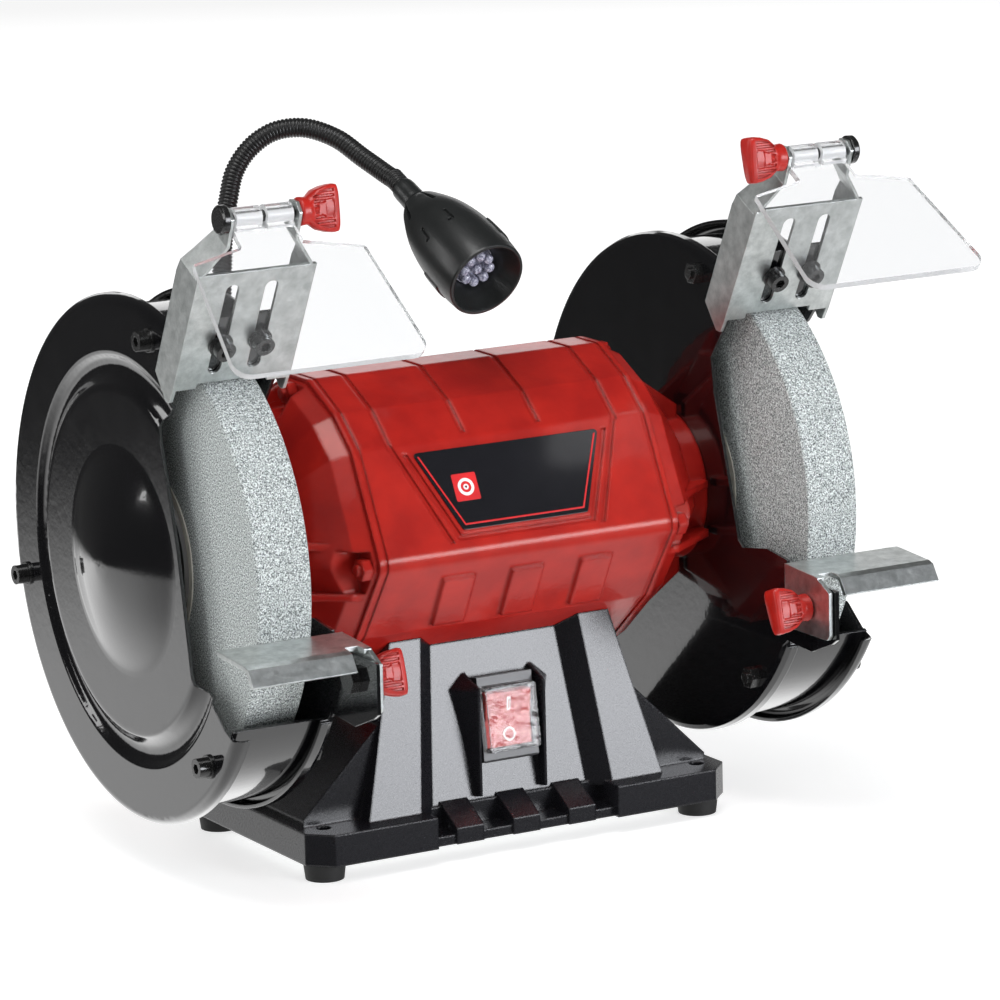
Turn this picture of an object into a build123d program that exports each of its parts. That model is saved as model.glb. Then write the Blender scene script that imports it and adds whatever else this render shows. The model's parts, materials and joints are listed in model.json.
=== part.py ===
"""Bench grinder with two guarded wheels, clear eye shields, tool rests and a gooseneck lamp.

Millimetres. X runs along the spindle, Y towards the back, Z up from the bench top, and the
origin is under the middle of the base. The right-hand side is drawn and mirrored to the left.
"""

from build123d import *
from math import atan2, cos, radians, sin, sqrt
import os

# Spindle and wheels
shaft_height = 138.5
wheel_radius = 100.0
wheel_width = 25.0
wheel_x = 134.4
wheel_bore = 16.0
rest_gap = 2.0

# Guards: a pressed pan on the motor side, a rolled band, and a pressed cover outside
sheet = 1.5
casing_x = 111.2
casing_radius = 112.5
cover_x = 157.8
cover_radius = 113.9
lip_depth = 6.5
band_radius = 106.6
guard_screw_circle = 103.5
guard_screw_angles = (-13.5, 106.5, 226.5)

# Motor
shell_half = 73.6
bell_rim_x = 82.0
tie_bolt_spots = [(-63.0, -3.2), (63.0, -3.2), (0, 63.2), (0, -61.2)]
stator_radius = 55.0
rotor_radius = 33.0
core_half = 30.0
bearing_x = 90.0
bearing_width = 12.0
bearing_radius = 20.0
journal_radius = 8.5
arbor_radius = 8.0

# Base
foot_height = 7.8
base_half_x = 104.8
base_half_y = 62.8
base_top = 21.9
bolt_x = 93.6
bolt_y = 49.3
bolt_hole = 3.25
pocket_half_x = 99.0
pocket_half_y = 43.5
cover_screw_x = 84.0
cover_screw_y = 34.0

# Spark arrestor bracket: its face leans forward from the guard's upper lip
arrestor_foot = (-57.0, 220.5)
arrestor_lean = radians(28.3)
arrestor_x = (107.0, 161.3)
arrestor_height = 58.0
arrestor_screw_x = (126.0, 144.0)
arrestor_screw_v = 22.0
hinge = (-89.0, 295.0)
pin_radius = 2.5
running = 0.08

# Tool rest
rest_x = (108.8, 167.2)
rest_back = -(wheel_radius + 0.2)
rest_bolt = (-118.0, 104.0)
rest_plate = 2.0

# Lamp
lamp_post = (-70.0, 78.0)
goose_radius = 4.0
bend_point = (-69.5, 78.0, 225.0)
head_neck = (-4.8, 13.0, 274.0)
head_rim = (-1.4, -40.0, 247.8)

# Half outline of the motor body, (y, z from the spindle), front crease at -70
motor_front = [(-9, 69.6), (-32, 58.2), (-47.5, 44.5), (-69.9, 0.4), (-69.9, -4.4),
               (-46.5, -37.5), (-10, -67.8)]
motor_outline = motor_front + [(-y, z) for y, z in reversed(motor_front)]

spindle = Axis((0, 0, shaft_height), (1, 0, 0))
lengthwise = Plane(origin=(0, 0, shaft_height), x_dir=(1, 0, 0), z_dir=(0, -1, 0))
os.makedirs("parts", exist_ok=True)


def across(x):
    """Plane square to the spindle at x; sketch x runs to the back and sketch y up."""
    return Plane(origin=(x, 0, shaft_height), x_dir=(0, 1, 0), z_dir=(1, 0, 0))


def polar(radius, angle):
    """Point at a radius and an angle from the back, towards the top, round the spindle."""
    return (radius * cos(radians(angle)), radius * sin(radians(angle)))


def save(part, name):
    """Writes one node."""
    part.label = name
    export_step(part, f"parts/{name}.step")


def save_pair(part, name):
    """Writes the right-hand node and its mirror image on the left."""
    save(part, f"{name}_right")
    save(mirror(part, about=Plane.YZ), f"{name}_left")


def turned(points):
    """Solid of revolution about the spindle from (x, radius) points."""
    with BuildPart() as piece:
        with BuildSketch(lengthwise):
            with BuildLine():
                Polyline(*points, close=True)
            make_face()
        revolve(axis=spindle)
    return piece.part


# ---------------------------------------------------------------- base

def corner_leg(sx, sy):
    """One raised corner leg of the pedestal, from the base plate up to the saddle."""
    with BuildPart() as leg:
        for z, outline in (
            (base_top - 2, [(48.2, 53.6), (74.0, 53.6), (74.0, 38), (30, 38), (38.5, 46.2)]),
            (96.0, [(39.4, 41.0), (54.6, 41.0), (54.6, 28), (24, 28), (30.4, 33.1)]),
        ):
            with BuildSketch(Plane.XY.offset(z)):
                with BuildLine():
                    Polyline(*[(sx * x, sy * y) for x, y in outline], close=True)
                make_face()
        loft(ruled=True)
    return leg.part


def motor_prism(grow, half):
    """The motor body's outline as a bar along X, grown a little all round."""
    with BuildPart() as prism:
        with BuildSketch(across(-half)):
            with BuildLine():
                Polyline(*motor_outline, close=True)
            make_face()
            offset(amount=grow)
        extrude(amount=2 * half)
    return prism.part


switch_centre = (0.0, -43.6, 56.2)
switch_lean = radians(8.5)
switch_face = Plane(
    origin=switch_centre, x_dir=(1, 0, 0), z_dir=(0, -cos(switch_lean), sin(switch_lean))
)


def base_casting():
    """Pedestal: chamfered plate, hollow tapered column, four legs, skirts and switch boss."""
    with BuildPart() as base:
        with BuildSketch(Plane.XY.offset(foot_height)):
            Rectangle(2 * base_half_x, 2 * base_half_y)
            chamfer(vertices(), length=9.6)
        extrude(amount=base_top - foot_height)
        # Lowered middle of the front, with three sloping ribs on it
        with BuildSketch(Plane.YZ.offset(-45)):
            with BuildLine():
                Polyline((-63, 0), (-59.4, 0), (-59.4, 12.1), (-47, 12.1), (-47, 30), (-63, 30),
                         close=True)
            make_face()
        extrude(amount=90, mode=Mode.SUBTRACT)
        for x in (-28.0, 0.0, 28.0):
            with BuildSketch(Plane.YZ.offset(x - 6.7)):
                with BuildLine():
                    Polyline((-60.6, foot_height), (-60.6, 15), (-46, 23.6), (-46, foot_height),
                             close=True)
                make_face()
            extrude(amount=13.4)
        # Column and flared side skirts
        for z, half_x, half_y in ((base_top - 2, 74.0, 46.2), (96.0, 54.6, 33.1)):
            with BuildSketch(Plane.XY.offset(z)):
                Rectangle(2 * half_x, 2 * half_y)
        loft(ruled=True)
        for side in (-1, 1):
            with BuildSketch(Plane.XZ.offset(44.5)):
                with BuildLine():
                    Polyline((side * 50, 21), (side * 100.7, 21), (side * 100.7, 25),
                             (side * 63, 62), (side * 50, 62), close=True)
                make_face()
            extrude(amount=-89)
        for sx in (-1, 1):
            for sy in (-1, 1):
                add(corner_leg(sx, sy))
        # Two cheeks that guard the switch, and the pad that it is seated on
        for side in (-1, 1):
            for depth, outline in (
                (36.0, [(15.6, 22), (18.7, 22), (25.3, 70), (17.3, 76.5), (15.6, 76.5)]),
                (50.0, [(15.6, 24), (16.8, 24), (16.8, 70.5), (16.4, 72.0), (15.6, 72.0)]),
            ):
                with BuildSketch(Plane.XZ.offset(depth)):
                    with BuildLine():
                        Polyline(*[(side * x, z) for x, z in outline], close=True)
                    make_face()
            loft(ruled=True)
        with BuildSketch(switch_face):
            Rectangle(27.0, 37.0)
        extrude(amount=-9)
        # Hollow inside, with the bolt bosses left standing
        with BuildSketch(Plane.XY.offset(foot_height)):
            Rectangle(2 * pocket_half_x, 2 * pocket_half_y)
            with GridLocations(2 * bolt_x, 2 * bolt_y, 2, 2):
                Circle(11, mode=Mode.SUBTRACT)
            with GridLocations(2 * cover_screw_x, 2 * cover_screw_y, 2, 2):
                Circle(4, mode=Mode.SUBTRACT)
        extrude(amount=base_top - foot_height - 4, mode=Mode.SUBTRACT)
        for z, half_x, half_y in ((base_top - 6, 68.0, 40.0), (97.0, 50.0, 28.0)):
            with BuildSketch(Plane.XY.offset(z)):
                Rectangle(2 * half_x, 2 * half_y)
        loft(ruled=True, mode=Mode.SUBTRACT)
        add(motor_prism(0.05, 70.0), mode=Mode.SUBTRACT)
        with BuildSketch(Plane.XY):
            with GridLocations(2 * bolt_x, 2 * bolt_y, 2, 2):
                Circle(bolt_hole)
        extrude(amount=40, mode=Mode.SUBTRACT)
        with BuildSketch(Plane.XY.offset(foot_height)):
            with GridLocations(2 * cover_screw_x, 2 * cover_screw_y, 2, 2):
                Circle(1.5)
        extrude(amount=7, mode=Mode.SUBTRACT)
        with BuildSketch(switch_face):
            Rectangle(25.4, 30.4)
        extrude(amount=-27, mode=Mode.SUBTRACT)
        # Cable gland hole in the back edge of the plate
        with Locations((60, base_half_y - 4, 14.6)):
            Cylinder(5.0, 40, rotation=(90, 0, 0), mode=Mode.SUBTRACT)
    return base.part


def rubber_feet():
    """Four tapered rubber feet with a clear way through for bench bolts."""
    with BuildPart() as feet:
        with GridLocations(2 * bolt_x, 2 * bolt_y, 2, 2):
            Cone(8.4, 9.4, foot_height, align=(Align.CENTER, Align.CENTER, Align.MIN))
        with BuildSketch(Plane.XY):
            with GridLocations(2 * bolt_x, 2 * bolt_y, 2, 2):
                Circle(bolt_hole)
        extrude(amount=foot_height, mode=Mode.SUBTRACT)
    return feet.part


def bottom_cover():
    """Flat sheet that closes the underside between the feet."""
    with BuildPart() as cover:
        with BuildSketch(Plane.XY.offset(foot_height)):
            Rectangle(2 * pocket_half_x + 2, 2 * pocket_half_y + 2)
            with GridLocations(2 * bolt_x, 2 * bolt_y, 2, 2):
                Circle(11.4, mode=Mode.SUBTRACT)
            with GridLocations(2 * cover_screw_x, 2 * cover_screw_y, 2, 2):
                Circle(1.5, mode=Mode.SUBTRACT)
        extrude(amount=-sheet)
    return cover.part


def cover_fixings():
    """Four short screws that hold the bottom cover."""
    with BuildPart() as screws:
        with BuildSketch(Plane.XY.offset(foot_height - sheet)):
            with GridLocations(2 * cover_screw_x, 2 * cover_screw_y, 2, 2):
                Circle(3.2)
        extrude(amount=-1.8)
        with BuildSketch(Plane.XY.offset(foot_height - sheet)):
            with GridLocations(2 * cover_screw_x, 2 * cover_screw_y, 2, 2):
                Circle(1.5)
        extrude(amount=8)
    return screws.part


def cable_gland():
    """Flanged bush in the back of the base for the mains lead."""
    with BuildPart() as gland:
        with BuildSketch(Plane(origin=(60, base_half_y - 9, 14.6), z_dir=(0, 1, 0))):
            Circle(4.95)
        extrude(amount=9)
        with BuildSketch(Plane(origin=(60, base_half_y, 14.6), z_dir=(0, 1, 0))):
            Circle(6.8)
        extrude(amount=6, taper=8)
        with BuildSketch(Plane(origin=(60, base_half_y - 9, 14.6), z_dir=(0, 1, 0))):
            Circle(3.6)
        extrude(amount=15, mode=Mode.SUBTRACT)
    return gland.part


# ---------------------------------------------------------------- switch

def switch_body():
    """Rocker switch housing: bezel on the boss and a box behind the panel."""
    with BuildPart() as body:
        with BuildSketch(switch_face.offset(0.0)):
            Rectangle(27.5, 37.5)
        extrude(amount=2.6)
        fillet(body.edges().filter_by(GeomType.LINE).sort_by(Axis.Y)[:4], radius=1.0)
        with BuildSketch(switch_face):
            Rectangle(25.0, 30.0)
        extrude(amount=-24)
        with BuildSketch(switch_face.offset(2.6)):
            Rectangle(22.4, 26.6)
        extrude(amount=-11, mode=Mode.SUBTRACT)
    return body.part


rocker_tilt = 8.0
rocker_axis_depth = -3.0


def rocker():
    """Red rocker cap, tipped to its off position about the pivot behind the bezel."""
    pivot = switch_face.offset(rocker_axis_depth)
    tipped = Plane(origin=pivot.origin, x_dir=(1, 0, 0),
                   z_dir=(0, -cos(switch_lean - radians(rocker_tilt)),
                          sin(switch_lean - radians(rocker_tilt))))
    with BuildPart() as cap:
        with BuildSketch(Plane(origin=tipped.origin - tipped.x_dir * 10.9, x_dir=tipped.y_dir,
                               z_dir=(1, 0, 0))):
            with BuildLine():
                Polyline((-12.2, 1), (-4, -4), (4, -4), (12.2, 1), (12.2, 6.6), (0, 5.4),
                         (-12.2, 6.6), close=True)
            make_face()
        extrude(amount=21.8)
        fillet(cap.edges().filter_by(Axis.X), radius=0.7)
    return cap.part


def splash_cover():
    """Clear moulded cover that snaps over the rocker and keeps grit out."""
    with BuildPart() as cover:
        with BuildSketch(switch_face.offset(2.6)):
            RectangleRounded(26.4, 29.6, 2.2)
        extrude(amount=4.8, taper=8)
        with BuildSketch(switch_face.offset(2.6)):
            RectangleRounded(24.4, 27.6, 1.4)
        extrude(amount=3.7, taper=8, mode=Mode.SUBTRACT)
    return cover.part


# ---------------------------------------------------------------- motor

upper_length = sqrt(22.4**2 + 44.1**2)
upper_slope = Plane(origin=(0, -58.7, shaft_height + 22.45), x_dir=(1, 0, 0),
                    z_dir=(0, -44.1 / upper_length, 22.4 / upper_length))
lower_length = sqrt(23.4**2 + 33.1**2)
lower_slope = Plane(origin=(0, -69.9, shaft_height - 4.4), x_dir=(1, 0, 0),
                    z_dir=(0, -33.1 / lower_length, -23.4 / lower_length))
groove_width = 2.2
label_top, label_bottom = 20.1, -15.9
label_half_top, label_half_bottom = 45.9, 30.7


def label_outline(grow):
    """Corner points of the name plate's trapezoid, grown sideways and downwards."""
    return [(-label_half_top - grow * 1.085, label_top), (label_half_top + grow * 1.085, label_top),
            (label_half_bottom + grow * 0.663, label_bottom - grow),
            (-label_half_bottom - grow * 0.663, label_bottom - grow)]


def motor_face(grow=0.0):
    """Sketch outline of the motor body with its creases rounded, grown all round."""
    with BuildSketch() as face:
        with BuildLine():
            Polyline(*motor_outline, close=True)
        make_face()
        fillet(vertices(), radius=5)
        if grow:
            offset(amount=grow)
    return face.sketch


def motor_shell():
    """Faceted motor housing with pressed grooves, a framed plate field and three raised pads."""
    with BuildPart() as shell:
        with BuildSketch(across(-shell_half)):
            add(motor_face())
            add(motor_face(-3.2), mode=Mode.SUBTRACT)
        extrude(amount=2 * shell_half)
        for x, low in ((-55.7, 43), (-18.5, 46), (18.5, 46), (55.7, 43)):
            with BuildSketch(across(x - groove_width / 2)):
                add(motor_face(2))
                add(motor_face(-0.9), mode=Mode.SUBTRACT)
                with Locations((0, low + 20)):
                    Rectangle(100, 40, mode=Mode.INTERSECT)
            extrude(amount=groove_width, mode=Mode.SUBTRACT)
        for x in (-shell_half + 2.6, shell_half - 4.2):
            with BuildSketch(across(x)):
                add(motor_face(2))
                add(motor_face(-0.7), mode=Mode.SUBTRACT)
            extrude(amount=1.6, mode=Mode.SUBTRACT)
        with BuildSketch(upper_slope):
            with BuildLine():
                Polyline(*label_outline(4.1), close=True)
            make_face()
            with BuildLine():
                Polyline(*label_outline(1.9), close=True)
            make_face(mode=Mode.SUBTRACT)
            for side in (-1, 1):
                with BuildLine():
                    Polyline((side * 54.6, 25.5), (side * 56.8, 25.5), (side * 38.2, -21.0),
                             (side * 36.0, -21.0), close=True)
                make_face()
        extrude(amount=-0.9, mode=Mode.SUBTRACT)
        with BuildSketch(lower_slope):
            for x in (-33.0, 0.7, 35.0):
                with BuildLine():
                    Polyline((x - 8.2, -8.4), (x + 8.2, -8.4), (x + 10.9, -37.5),
                             (x - 5.5, -37.5), close=True)
                make_face()
        extrude(amount=1.9, taper=18)
    return shell.part


def end_bell():
    """Right-hand end bell: inset rim, tapered body, bearing pocket and bolt pockets."""
    with BuildPart() as bell:
        for x, scale_by in ((shell_half, 0.975), (bell_rim_x, 0.92)):
            with BuildSketch(across(x)):
                with BuildLine():
                    Polyline(*[(y * scale_by, z * scale_by) for y, z in motor_outline], close=True)
                make_face()
        loft(ruled=True)
        for x, scale_by in ((bell_rim_x, 0.92), (101.0, 0.56)):
            with BuildSketch(across(x)):
                with BuildLine():
                    Polyline(*[(y * scale_by, z * scale_by) for y, z in motor_outline], close=True)
                make_face()
        loft(ruled=True)
        with BuildSketch(across(bell_rim_x)):
            Circle(34)
        extrude(until=None, amount=casing_x - bell_rim_x)
        # Spigot inside the shell, then the hollow that clears the windings
        with BuildSketch(across(shell_half - 6)):
            add(motor_face(-3.5))
        extrude(amount=6)
        with BuildSketch(across(shell_half - 6)):
            Circle(50)
        extrude(amount=12, mode=Mode.SUBTRACT)
        # Pockets at the four corners for the tie bolts, between gusset ribs
        for angle, shift in ((0, -5), (90, 0), (180, 5), (270, 0)):
            with BuildSketch(across(75.5)):
                with Locations(Location((0, 0), angle)):
                    with Locations((68, shift)):
                        Rectangle(26, 19)
            extrude(amount=30, mode=Mode.SUBTRACT)
        for angle, shift in ((0, -5), (90, 0), (180, 5), (270, 0)):
            for side in (shift - 11, shift + 11):
                rib_plane = Plane(across(0).location * Location((0, 0, 0), (0, 0, angle)))
                with BuildSketch(Plane(origin=rib_plane.origin + rib_plane.y_dir * (side - 1.6),
                                       x_dir=rib_plane.z_dir, z_dir=-rib_plane.y_dir).offset(-3.2)):
                    with BuildLine():
                        Polyline((74, -58), (81, -58), (109, -38), (109, -26), (74, -26),
                                 close=True)
                    make_face()
                extrude(amount=3.2)
        with BuildSketch(across(60)):
            Circle(bearing_radius)
        extrude(amount=bearing_x + bearing_width + 0.5 - 60, mode=Mode.SUBTRACT)
        with BuildSketch(across(60)):
            Circle(13)
        extrude(amount=60, mode=Mode.SUBTRACT)
        with BuildSketch(across(60)):
            with Locations(*tie_bolt_spots):
                Circle(2.7)
        extrude(amount=40, mode=Mode.SUBTRACT)
    return bell.part


def tie_bolts():
    """Four long bolts through both end bells, each with a hexagon nut at either end."""
    with BuildPart() as bolts:
        with BuildSketch(across(-82)):
            with Locations(*tie_bolt_spots):
                Circle(2.5)
        extrude(amount=164)
        for x in (-80.2, 75.7):
            with BuildSketch(across(x)):
                with Locations(*tie_bolt_spots):
                    RegularPolygon(4.4, 6, major_radius=False)
            extrude(amount=4.5)
    return bolts.part


def stator_core():
    """Laminated stator ring with twelve winding slots."""
    with BuildPart() as core:
        with BuildSketch(across(-core_half)):
            Circle(stator_radius)
            Circle(rotor_radius + 0.5, mode=Mode.SUBTRACT)
            with PolarLocations(40.5, 12):
                Rectangle(12, 7, mode=Mode.SUBTRACT)
            with PolarLocations(34.5, 12):
                Rectangle(6, 2.4, mode=Mode.SUBTRACT)
        extrude(amount=2 * core_half)
    return core.part


def stator_windings():
    """Copper end turns, a rounded ring at each end of the core."""
    with BuildPart() as coils:
        for x in (-core_half - 16, core_half + 0.2):
            with BuildSketch(lengthwise):
                with Locations((x + 7.9, 42)):
                    RectangleRounded(15.6, 12, 4)
            revolve(axis=spindle)
    return coils.part


def rotor_core():
    """Squirrel-cage rotor with a cast short-circuit ring at each end."""
    with BuildPart() as cage:
        with BuildSketch(across(-core_half)):
            Circle(rotor_radius)
        extrude(amount=2 * core_half)
        with BuildSketch(across(-core_half - 7)):
            Circle(28)
        extrude(amount=2 * core_half + 14)
        with BuildSketch(across(-core_half - 7)):
            Circle(journal_radius + 1.5)
        extrude(amount=2 * core_half + 14, mode=Mode.SUBTRACT)
    return cage.part


def motor_shaft():
    """Stepped spindle: body, bearing journals, arbors and threaded ends."""
    journal = journal_radius - 0.05
    arbor_end = 165.0
    return turned([
        (-arbor_end, 0), (-arbor_end, arbor_radius - 1), (-arbor_end + 1, arbor_radius),
        (-103, arbor_radius), (-103, journal), (-bearing_x + 1, journal),
        (-bearing_x + 1, journal_radius + 1.5), (bearing_x - 1, journal_radius + 1.5),
        (bearing_x - 1, journal), (103, journal), (103, arbor_radius),
        (arbor_end - 1, arbor_radius), (arbor_end, arbor_radius - 1), (arbor_end, 0),
    ])


def bearings():
    """Sealed ball bearings, one in each end bell."""
    with BuildPart() as pair:
        for x in (-bearing_x - bearing_width, bearing_x):
            with BuildSketch(across(x)):
                Circle(bearing_radius)
                Circle(journal_radius, mode=Mode.SUBTRACT)
            extrude(amount=bearing_width)
            with BuildSketch(across(x)):
                Circle(16.5)
                Circle(11.5, mode=Mode.SUBTRACT)
            extrude(amount=0.6, mode=Mode.SUBTRACT)
    return pair.part


def wave_washer():
    """Thin spring ring that takes up the end play behind the right-hand bearing."""
    with BuildPart() as ring:
        with BuildSketch(across(bearing_x + bearing_width + 0.02)):
            Circle(19.5)
            Circle(16, mode=Mode.SUBTRACT)
        extrude(amount=0.45)
    return ring.part


def capacitor():
    """Run capacitor lying in the pedestal."""
    with BuildPart() as can:
        with BuildSketch(Plane.YZ.offset(-30)):
            with Locations((14, 38)):
                Circle(15)
        extrude(amount=58)
        fillet(can.edges().filter_by(GeomType.CIRCLE), radius=2)
        with BuildSketch(Plane.YZ.offset(28)):
            with Locations((10, 38), (18, 38)):
                Rectangle(0.8, 6)
        extrude(amount=8)
    return can.part


def name_plate():
    """Thin dark plate on the front upper slope."""
    with BuildPart() as plate:
        with BuildSketch(upper_slope.offset(0.02)):
            with BuildLine():
                Polyline(*label_outline(0), close=True)
            make_face()
            fillet(vertices(), radius=1.5)
        extrude(amount=0.5)
    return plate.part


# ---------------------------------------------------------------- wheels

def grinding_wheel():
    """Straight vitrified wheel."""
    inner = wheel_x - wheel_width / 2
    outer = wheel_x + wheel_width / 2
    return turned([
        (inner, wheel_bore), (inner, wheel_radius - 0.8), (inner + 0.8, wheel_radius),
        (outer - 0.8, wheel_radius), (outer, wheel_radius - 0.8), (outer, wheel_bore),
    ])


def blotters():
    """Four paper washers, one each side of both wheels."""
    with BuildPart() as discs:
        for side in (-1, 1):
            for face in (-wheel_width / 2 - 0.6, wheel_width / 2):
                start = wheel_x + face if side > 0 else -wheel_x - face - 0.6
                with BuildSketch(across(start)):
                    Circle(41)
                    Circle(wheel_bore, mode=Mode.SUBTRACT)
                extrude(amount=0.6)
    return discs.part


def inner_flanges():
    """Backing flanges whose long hubs bear on the bearings and whose spigots centre the wheels."""
    face = wheel_x - wheel_width / 2 - 0.6
    right = turned([
        (103.0, arbor_radius), (103.0, 12), (116.3, 12), (117.0, 38), (face, 38), (face, wheel_bore),
        (wheel_x, wheel_bore), (wheel_x, arbor_radius),
    ])
    with BuildPart() as pair:
        add(right)
        mirror(about=Plane.YZ)
    return pair.part


def outer_flanges():
    """Pressing flanges under the spindle nuts."""
    face = wheel_x + wheel_width / 2 + 0.6
    right = turned([
        (face, arbor_radius), (face, 38), (face + 2, 38), (face + 4.2, 22), (face + 4.2, arbor_radius),
    ])
    with BuildPart() as pair:
        add(right)
        mirror(about=Plane.YZ)
    return pair.part


def wheel_nut():
    """Right-hand spindle nut."""
    start = wheel_x + wheel_width / 2 + 4.8
    with BuildPart() as nut:
        with BuildSketch(across(start)):
            RegularPolygon(12, 6, major_radius=False)
            Circle(arbor_radius, mode=Mode.SUBTRACT)
        extrude(amount=9)
    return nut.part


# ---------------------------------------------------------------- guards

def along(v, w):
    """Point (y, z) at v up the arrestor's face from its foot and w behind it."""
    up = (-sin(arrestor_lean), cos(arrestor_lean))
    back = (cos(arrestor_lean), sin(arrestor_lean))
    return (arrestor_foot[0] + v * up[0] + w * back[0], arrestor_foot[1] + v * up[1] + w * back[1])


def about_spindle(point):
    """The same (y, z) point measured from the spindle."""
    return (point[0], point[1] - shaft_height)


lip_low = about_spindle(along(-3, 3.6))
lip_high = about_spindle(along(40, 3.6))
cover_mouth = [lip_high, lip_low, (-39, 66.4), (-39.6, 59), (-52, 14.6), (-61.2, -39), (-63.6, -42.6),
               (-74, -46), (-86.5, -56.3), (-93.5, -59.5), (-140, -59.5), (-140, lip_high[1])]
casing_mouth = [lip_high, lip_low, (-38.6, 63), (-40.5, 48), (-51, 12), (-58.8, -15.7), (-62.6, -18.6),
                (-82, -15.6), (-98.4, -17.8), (-98.4, -24.4), (-137, -24.4), (-160, -24.4),
                (-160, lip_high[1])]
casing_tab = [(-90, -24), (-137, -24.4), (-137, -46), (-133, -48.6), (-117, -55), (-98, -53.5),
              (-90, -60)]


def screw_spots(radius=guard_screw_circle):
    """Sketch points of the three cover screws."""
    return [polar(radius, angle) for angle in guard_screw_angles]


def mouth_cut(points, x, length):
    """Prism that opens the front of a guard."""
    with BuildPart() as cut:
        with BuildSketch(across(x)):
            with BuildLine():
                Polyline(*points, close=True)
            make_face()
            fillet(vertices().filter_by_position(Axis.Y, -80, -20), radius=3)
        extrude(amount=length)
    return cut.part


def guard_casing():
    """Motor-side pan with a turned lip, an open front and the tab that carries the tool rest."""
    pan = turned([
        (casing_x, 22), (casing_x, casing_radius - 3), (casing_x + 0.9, casing_radius - 0.9),
        (casing_x + 3, casing_radius), (casing_x + lip_depth, casing_radius),
        (casing_x + lip_depth, casing_radius - sheet), (casing_x + 3, casing_radius - sheet),
        (casing_x + sheet, casing_radius - 3), (casing_x + sheet, 22),
    ])
    mouth = mouth_cut(casing_mouth, casing_x - 1, 20)
    lower = [(-160, -24.4), (-96, -24.4), (-96, -57.5), (-104, -61), (-160, -61)]
    with BuildPart() as casing:
        add(pan)
        add(mouth, mode=Mode.SUBTRACT)
        with BuildSketch(across(casing_x - 1)):
            with BuildLine():
                Polyline(*lower, close=True)
            make_face()
        extrude(amount=20, mode=Mode.SUBTRACT)
        with BuildSketch(across(casing_x)):
            with BuildLine():
                Polyline(*casing_tab, close=True)
            make_face()
        extrude(amount=sheet)
        with BuildSketch(across(casing_x - 1)):
            with Locations(*screw_spots()):
                Circle(2.7)
            with Locations(about_spindle(rest_bolt)):
                Circle(3.1)
        extrude(amount=8, mode=Mode.SUBTRACT)
    return casing.part


def guard_band():
    """Rolled strip between the pans, ending in the lug that carries the spark arrestor."""
    start, end = -148.5, 123.0
    inner_x = casing_x + sheet
    width = cover_x - sheet - inner_x
    with BuildPart() as band:
        with BuildSketch(across(inner_x)):
            with BuildLine():
                outer = CenterArc((0, 0), band_radius + sheet, start, end - start)
                inner = CenterArc((0, 0), band_radius, start, end - start)
                Line(outer @ 0, inner @ 0)
                Line(outer @ 1, inner @ 1)
            make_face()
        extrude(amount=width)
        with BuildSketch(across(wheel_x - 20.5)):
            with BuildLine():
                Polyline(*[about_spindle(along(v, w)) for v, w in
                           ((6.0, 1.8), (34, 1.8), (34, 3.4), (9.0, 3.4), (6.0, 5.0))], close=True)
            make_face()
        extrude(amount=41)
        for x in arrestor_screw_x:
            lug = Plane(origin=(x, *along(arrestor_screw_v, 0)), x_dir=(1, 0, 0),
                        z_dir=(0, cos(arrestor_lean), sin(arrestor_lean)))
            with BuildSketch(lug):
                Circle(2.5)
            extrude(amount=6, mode=Mode.SUBTRACT)
    return band.part


def guard_cover():
    """Outer cover: rounded rim, flat screw ring, pressed groove, raised field and a hub dome."""
    groove = [(0, 89.5), (-1.6, 86.6), (-2.4, 83.5), (-1.6, 79.6), (0.8, 76.2), (1.9, 72.5)]
    dome = [(1.9, 50.0), (3.0, 44.5), (6.6, 33.0), (10.2, 18.0), (12.2, 7.0), (12.6, 0)]
    with BuildPart() as cover:
        for inset in (0.0, sheet):
            start = cover_x - lip_depth - inset
            with BuildSketch(lengthwise):
                with BuildLine():
                    Line((start, 0), (start, cover_radius - inset))
                    Line((start, cover_radius - inset), (cover_x - 4.4, cover_radius - inset))
                    RadiusArc((cover_x - 4.4, cover_radius - inset),
                              (cover_x - inset, cover_radius - 4.4), 4.4 - inset)
                    Line((cover_x - inset, cover_radius - 4.4), (cover_x - inset, groove[0][1]))
                    Spline(*[(cover_x - inset + x, r) for x, r in groove],
                           tangents=[(0, -1), (0, -1)])
                    Line((cover_x - inset + groove[-1][0], groove[-1][1]),
                         (cover_x - inset + dome[0][0], dome[0][1]))
                    Spline(*[(cover_x - inset + x, r) for x, r in dome],
                           tangents=[(0, -1), (0, -1)])
                    Line((cover_x - inset + dome[-1][0], 0), (start, 0))
                make_face()
            revolve(axis=spindle, mode=Mode.SUBTRACT if inset else Mode.ADD)
        add(mouth_cut(cover_mouth, cover_x - 10, 30), mode=Mode.SUBTRACT)
        with BuildSketch(across(cover_x - 5)):
            with Locations(*screw_spots()):
                Circle(2.7)
        extrude(amount=10, mode=Mode.SUBTRACT)
    return cover.part


def cover_screws():
    """Three socket-head screws that clamp cover, band and pan together."""
    inner, seat = casing_x - 5.5, cover_x + 1.0
    with BuildPart() as screws:
        with BuildSketch(across(inner)):
            with Locations(*screw_spots()):
                Circle(2.5)
        extrude(amount=seat - inner)
        with BuildSketch(across(seat)):
            with Locations(*screw_spots()):
                Circle(4.25)
        extrude(amount=5.2)
        with BuildSketch(across(seat + 2.4)):
            with Locations(*screw_spots()):
                RegularPolygon(2.0, 6, major_radius=False)
        extrude(amount=4, mode=Mode.SUBTRACT)
    return screws.part


def cover_washers():
    """Thin washers under the heads of the cover screws, on both covers."""
    with BuildPart() as washers:
        with BuildSketch(across(cover_x)):
            with Locations(*screw_spots()):
                Circle(5.2)
                Circle(2.5, mode=Mode.SUBTRACT)
        extrude(amount=1.0)
        mirror(about=Plane.YZ)
    return washers.part


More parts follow.
